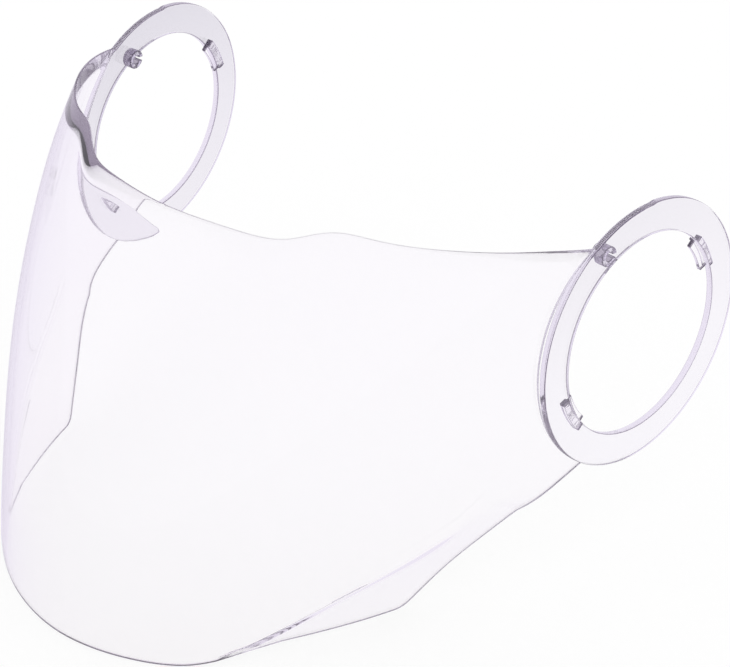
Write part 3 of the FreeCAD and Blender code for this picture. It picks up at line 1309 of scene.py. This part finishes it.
@dataclass
class RatchetTeeth:
    """Row of fine teeth on the ring's rim, repeated by Geometry Nodes."""

    teeth: int = 42
    first_turn: float = math.radians(85.5)
    pitch: float = math.radians(0.83)
    seat_radius: float = 49.5 * MM
    size: float = 0.4 * MM
    width: float = 1.5 * MM
    spread: float = 0.14
    seed: int = 7

    def tree(self, finish: bpy.types.Material) -> tuple[bpy.types.NodeTree, dict[str, Any]]:
        """Write the node tree.

        Args:
            finish: Material of the teeth.

        Returns:
            The tree, and the value of each of its inputs by the input's identifier.
        """
        tree = bpy.data.node_groups.new("ratchet_teeth", "GeometryNodeTree")
        named = {
            "Teeth": self.teeth,
            "First turn": self.first_turn,
            "Pitch": self.pitch,
            "Seat radius": self.seat_radius,
            "Size": self.size,
            "Width": self.width,
            "Spread": self.spread,
            "Seed": self.seed,
        }
        values: dict[str, Any] = {}
        for name, value in named.items():
            kind = "NodeSocketInt" if isinstance(value, int) else "NodeSocketFloat"
            item = tree.interface.new_socket(name, in_out="INPUT", socket_type=kind)
            values[item.identifier] = value
        tree.interface.new_socket("Geometry", in_out="OUTPUT", socket_type="NodeSocketGeometry")
        graph = Graph(tree)
        given = tree.nodes.new("NodeGroupInput").outputs
        wires = (Wire(graph, given[name]) for name in named)
        count, first_turn, pitch, seat, size, width, spread, seed = wires
        line = graph.node("GeometryNodeMeshLine", {"Count": count, "Offset": (0.0, 0.0, 0.0)})
        turn = first_turn + pitch * graph.node("GeometryNodeInputIndex")
        spot = graph.vector(0.0, seat * turn.cosine(), seat * turn.sine())
        points = graph.node("GeometryNodeSetPosition", {"Geometry": line, "Position": spot})
        sockets = {"Vertices": 3, "Radius": size, "Depth": width}
        prism = graph.node("GeometryNodeMeshCylinder", sockets, {"fill_type": "NGON"})
        lying = (0.0, QUARTER, 0.0)
        tooth = graph.node("GeometryNodeTransform", {"Geometry": prism, "Rotation": lying})
        facing = graph.vector(turn + QUARTER, 0.0, 0.0)
        sockets = {2: 1 - spread, 3: 1.0, "Seed": seed}
        scale = graph.node("FunctionNodeRandomValue", sockets, {"data_type": "FLOAT"}, output=1)
        stretch = graph.vector(1.0, scale, scale)
        sockets = {"Points": points, "Instance": tooth, "Rotation": facing, "Scale": stretch}
        copies = graph.node("GeometryNodeInstanceOnPoints", sockets)
        solid = graph.node("GeometryNodeRealizeInstances", {"Geometry": copies})
        dressed = graph.node("GeometryNodeSetMaterial", {"Geometry": solid, "Material": finish})
        graph.feed(tree.nodes.new("NodeGroupOutput").inputs["Geometry"], dressed)
        return tree, values

    def build(self, arm: Arm, finish: bpy.types.Material) -> None:
        """Make the teeth of one ring.

        Args:
            arm: Which arm it is on.
            finish: Material of the teeth.
        """
        tree, values = self.tree(finish)
        seed = linked("teeth_seed", bpy.data.meshes.new("teeth_seed"))
        modifier = seed.modifiers.new("teeth", "NODES")
        modifier.node_group = tree
        for identifier, value in values.items():
            modifier[identifier] = value
        scene = bpy.context.evaluated_depsgraph_get()
        data = bpy.data.meshes.new_from_object(seed.evaluated_get(scene))
        seed.modifiers.remove(modifier)
        bpy.data.objects.remove(seed)
        data.transform(arm.place())
        outward_faces(data)
        dress(linked(arm.side.node("ratchet_teeth"), data))


@dataclass(frozen=True)
class ClearFinish:
    """Clear moulded polycarbonate, with a colour that drifts from the chin to the brow: a faint tint on
    the face, rims, stud and teeth, painted shade on the edge, end, shoulder and right-arm finishes,
    and on the left arm a colour that darkens towards the top.

    Handling and fine specks vary the roughness, and the moulding's flow makes a shallow ripple.
    Scales are in waves per metre.
    """

    name: str
    tints_and_shade: tuple[Colour, Colour, Colour]
    roughness: float
    roughness_drift: float
    flow_scale: float
    flow_depth: float = 0.02 * MM
    flow_strength: float = 0.5
    top: float = 144.0 * MM
    tint_and_shade_scale: float = 9.0
    tint_and_shade_detail: float = 2.0
    tint_and_shade_drift: float = 0.25
    handling_scale: float = 60.0
    handling_detail: float = 4.0
    speck_scale: float = 900.0
    speck_detail: float = 2.0
    flow_detail: float = 1.0
    ior: float = 1.586

    def material(self) -> bpy.types.Material:
        """Make the material.

        Returns:
            The material, with its tint and any painted shade, roughness and ripple.
        """
        made = bpy.data.materials.new(self.name)
        made.use_nodes = True
        shader = made.node_tree.nodes["Principled BSDF"].inputs
        shader["IOR"].default_value = self.ior
        shader["Transmission Weight"].default_value = 1.0
        graph = Graph(made.node_tree)
        where = graph.node("ShaderNodeTexCoord", output="Object")
        drift = graph.noise(where, self.tint_and_shade_scale, self.tint_and_shade_detail)
        # Share along the colour ramp, rising with height; most painted-shade finishes have darker stops
        # higher up, so their painted shade deepens towards the top.
        share = graph.height(where) / self.top + (drift - 0.5) * self.tint_and_shade_drift
        stops = list(zip((0.0, 0.5, 1.0), self.tints_and_shade))
        handled = graph.noise(where, self.handling_scale, self.handling_detail)
        specks = graph.noise(where, self.speck_scale, self.speck_detail)
        flow = graph.noise(where, self.flow_scale, self.flow_detail)
        ripple = {"Height": flow, "Distance": self.flow_depth, "Strength": self.flow_strength}
        graph.feed(shader["Base Color"], graph.node("ShaderNodeValToRGB", {0: share}, {"stops": stops}))
        graph.feed(shader["Roughness"], self.roughness + handled * specks * self.roughness_drift)
        graph.feed(shader["Normal"], graph.node("ShaderNodeBump", ripple))
        return made


FACE = ClearFinish(
    name="clear_polycarbonate",
    tints_and_shade=((0.995, 0.982, 0.99), (0.995, 0.985, 1.0), (0.985, 0.97, 0.995)),
    roughness=0.012,
    roughness_drift=0.03,
    flow_scale=25.0,
)
# The left arm plate's colour darkens towards the top.
LEFT_ARM = ClearFinish(
    name="clear_arm_plate",
    tints_and_shade=((0.985, 0.975, 0.995), (0.96, 0.945, 0.975), (0.86, 0.84, 0.88)),
    roughness=0.015,
    roughness_drift=0.03,
    flow_scale=40.0,
)
# The right arm plate is the same plastic as the left; its darker colour is painted shade.
RIGHT_ARM_PAINTED_SHADE = replace(
    LEFT_ARM,
    name="clear_arm_plate_right",
    tints_and_shade=((0.9, 0.88, 0.92), (0.86, 0.84, 0.89), (0.72, 0.7, 0.76)),
)
ARMS = {Side.LEFT: LEFT_ARM, Side.RIGHT: RIGHT_ARM_PAINTED_SHADE}
RIM = ClearFinish(
    name="moulded_rim",
    tints_and_shade=((0.98, 0.97, 0.99), (0.975, 0.96, 0.985), (0.96, 0.945, 0.975)),
    roughness=0.04,
    roughness_drift=0.06,
    flow_scale=200.0,
)
BROW = replace(RIM, name="brow_rim", roughness=0.35, roughness_drift=0.2)
# Painted dark shade on the brow rim beyond the right shoulder.
SHOULDER = replace(BROW, name="shoulder_rim", tints_and_shade=((0.3, 0.25, 0.33),) * 3)
# Painted shade on rounded edges and the stud's radial faces: a grey-violet that darkens them, more towards
# the top.
PAINTED_EDGE_SHADE = ClearFinish(
    name="rounded_edge",
    tints_and_shade=((0.78, 0.74, 0.8), (0.52, 0.48, 0.56), (0.38, 0.34, 0.42)),
    roughness=0.06,
    roughness_drift=0.1,
    flow_scale=300.0,
)
# Painted dark shade on the ends of the tabs and stud and on the ring's dark bore edges.
END = replace(
    PAINTED_EDGE_SHADE,
    name="moulded_end",
    tints_and_shade=((0.14, 0.12, 0.16), (0.12, 0.1, 0.14), (0.1, 0.08, 0.12)),
    roughness=0.08,
)
STUD = ClearFinish(
    name="clear_stud",
    tints_and_shade=((0.95, 0.93, 0.97), (0.94, 0.92, 0.96), (0.92, 0.9, 0.95)),
    roughness=0.02,
    roughness_drift=0.05,
    flow_scale=200.0,
)
TOOTH = ClearFinish(
    name="fine_tooth",
    tints_and_shade=((0.97, 0.955, 0.98), (0.96, 0.94, 0.97), (0.94, 0.92, 0.96)),
    roughness=0.3,
    roughness_drift=0.4,
    flow_scale=600.0,
    flow_depth=0.05 * MM,
)


@dataclass
class Studio:
    """Floor, light and camera.

    The camera's angles are in radians, and it aims a little off the middle of the rings' axis.
    Light that is reflected inside the wall again and again takes a deep colour, with streaks.
    """

    azimuth: float = 0.7162
    elevation: float = 0.57127
    distance: float = 0.9019065
    aim_right: float = 0.005802
    aim_up: float = 0.042714
    focal_pixels: float = 2400.0
    photo_width: float = 730.0
    sensor: float = 36.0
    farthest: float = 50.0
    floor_half: float = 4.0
    floor_white: Colour = (0.96, 0.96, 0.96)
    shadow_share: float = 0.15
    strength: float = 1.06
    bounces: int = 48
    clear_turns: float = 4.0
    fading_turns: float = 2.0
    dim: Colour = (0.86, 0.82, 0.92)
    bent: Colour = (0.4, 0.34, 0.44)
    sweep_top: float = 0.25
    sweep_fade: float = 0.25
    dark: Colour = (0.15, 0.12, 0.18)
    streak: Colour = (0.3, 0.25, 0.34)
    streak_scale: float = 7.0
    streak_detail: float = 3.0
    streak_contrast: float = 3.0

    def camera(self, stance: Matrix) -> None:
        """Place the camera where the photograph was taken from.

        Args:
            stance: Where the pivot frame sits.
        """
        right = Vector((math.cos(self.azimuth), math.sin(self.azimuth), 0))
        level = Vector((math.sin(self.azimuth), -math.cos(self.azimuth), 0))
        back = level * math.cos(self.elevation) + Vector((0, 0, math.sin(self.elevation)))
        up = back.cross(right)
        eye = back * self.distance - right * self.aim_right - up * self.aim_up
        turn = Matrix((right, up, back)).transposed().to_4x4()
        data = bpy.data.cameras.new("photo_camera")
        data.sensor_width = self.sensor
        data.lens = self.sensor * self.focal_pixels / self.photo_width
        data.clip_end = self.farthest
        camera = linked("photo_camera", data)
        camera.matrix_world = stance @ Matrix.Translation(eye) @ turn
        bpy.context.scene.camera = camera

    def glossy(self, graph: Graph) -> Wire:
        """Whether a ray carries no dull surface's light."""
        return 1 - graph.ray("Diffuse Depth").least(1.0)

    def reflections(self, graph: Graph) -> Wire:
        """How many times a ray has been reflected, or none if it lights a dull surface."""
        return graph.ray("Glossy Depth") * self.glossy(graph)

    def depth(self, turns: Wire) -> Wire:
        """Share of the deep colour after a number of reflections."""
        return ((turns - self.clear_turns) / self.fading_turns).share()

    def floor(self) -> None:
        """Lay a plain pale floor that keeps a faint shadow."""
        half = self.floor_half
        corners = [(-half, -half, 0), (half, -half, 0), (half, half, 0), (-half, half, 0)]
        data = bpy.data.meshes.new("floor")
        data.from_pydata(corners, [], [(0, 1, 2, 3)])
        made = bpy.data.materials.new("floor_white")
        made.use_nodes = True
        graph = Graph(made.node_tree)
        matt = graph.node("ShaderNodeBsdfDiffuse", {"Color": self.floor_white})
        turns = self.reflections(graph)
        seen = graph.blend(turns.least(1.0), WHITE, self.dim)
        seen = graph.blend(self.depth(turns), seen, self.streak)
        glow = graph.node("ShaderNodeEmission", {"Color": seen, "Strength": 1.0})
        straight = graph.ray("Is Camera Ray") + graph.ray("Is Transmission Ray")
        share = (straight * (1 - self.shadow_share) + turns).least(1.0)
        mixed = graph.node("ShaderNodeMixShader", {0: share, 1: matt, 2: glow})
        graph.feed(made.node_tree.nodes["Material Output"].inputs["Surface"], mixed)
        data.materials.append(made)
        linked("floor", data)

    def light(self) -> None:
        """Light the room evenly, with dim surroundings for what is reflected or bent upwards."""
        world = bpy.data.worlds.new("room")
        world.use_nodes = True
        graph = Graph(world.node_tree)
        through = graph.ray("Is Transmission Ray") * self.glossy(graph)
        turns = self.reflections(graph)
        toward = graph.node("ShaderNodeTexCoord", output="Generated")
        above = ((graph.height(toward) - self.sweep_top) / self.sweep_fade).share()
        colour = graph.blend(through * above, WHITE, self.bent)
        colour = graph.blend(turns.least(1.0), colour, self.dim)
        noise = graph.noise(toward, self.streak_scale, self.streak_detail)
        deep = graph.blend((noise * self.streak_contrast - 1).share(), self.dark, self.streak)
        colour = graph.blend(self.depth(turns), colour, deep)
        background = world.node_tree.nodes["Background"].inputs
        graph.feed(background["Color"], colour)
        background["Strength"].default_value = self.strength
        scene = bpy.context.scene
        scene.world = world
        scene.view_settings.view_transform = "Standard"
        scene.cycles.max_bounces = self.bounces
        scene.cycles.transmission_bounces = self.bounces
        scene.cycles.glossy_bounces = self.bounces


def main() -> None:
    """Build the visor piece by piece and set the scene."""
    logging.basicConfig(level=logging.INFO, format="%(message)s")
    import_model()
    shield = Shield(ShieldSurface())
    stance = Stance(shield).matrix()
    # The edge finish is painted edge shade and the end finish painted dark shade.
    face, rim, edge, end = (finish.material() for finish in (FACE, RIM, PAINTED_EDGE_SHADE, END))
    # The shoulder finish is painted dark shade for the brow rim beyond the right shoulder.
    brow, shoulder, stud, tooth = (finish.material() for finish in (BROW, SHOULDER, STUD, TOOTH))
    shield.build([face, brow, edge, shoulder], stance)
    on_ring = stance @ shield.ring_matrix()
    for side in Side:
        arm = Arm(side, on_ring)
        # The right arm's finish is a darker, painted-shade copy of the left's.
        ArmRing().build(arm, [ARMS[side].material(), rim, edge, end, brow])
        for tab in TabPlace:
            # Tab ends get painted dark shade.
            RetainingTab().build(tab, arm, [face, face, rim, end])
        # The stud's radial faces get painted edge shade, its rounded edges and ends painted dark shade.
        GuideHook().build(arm, [stud, edge, end, end])
        RatchetTeeth().build(arm, tooth)
    studio = Studio()
    studio.floor()
    studio.light()
    studio.camera(stance)


if __name__ == "__main__":
    main()
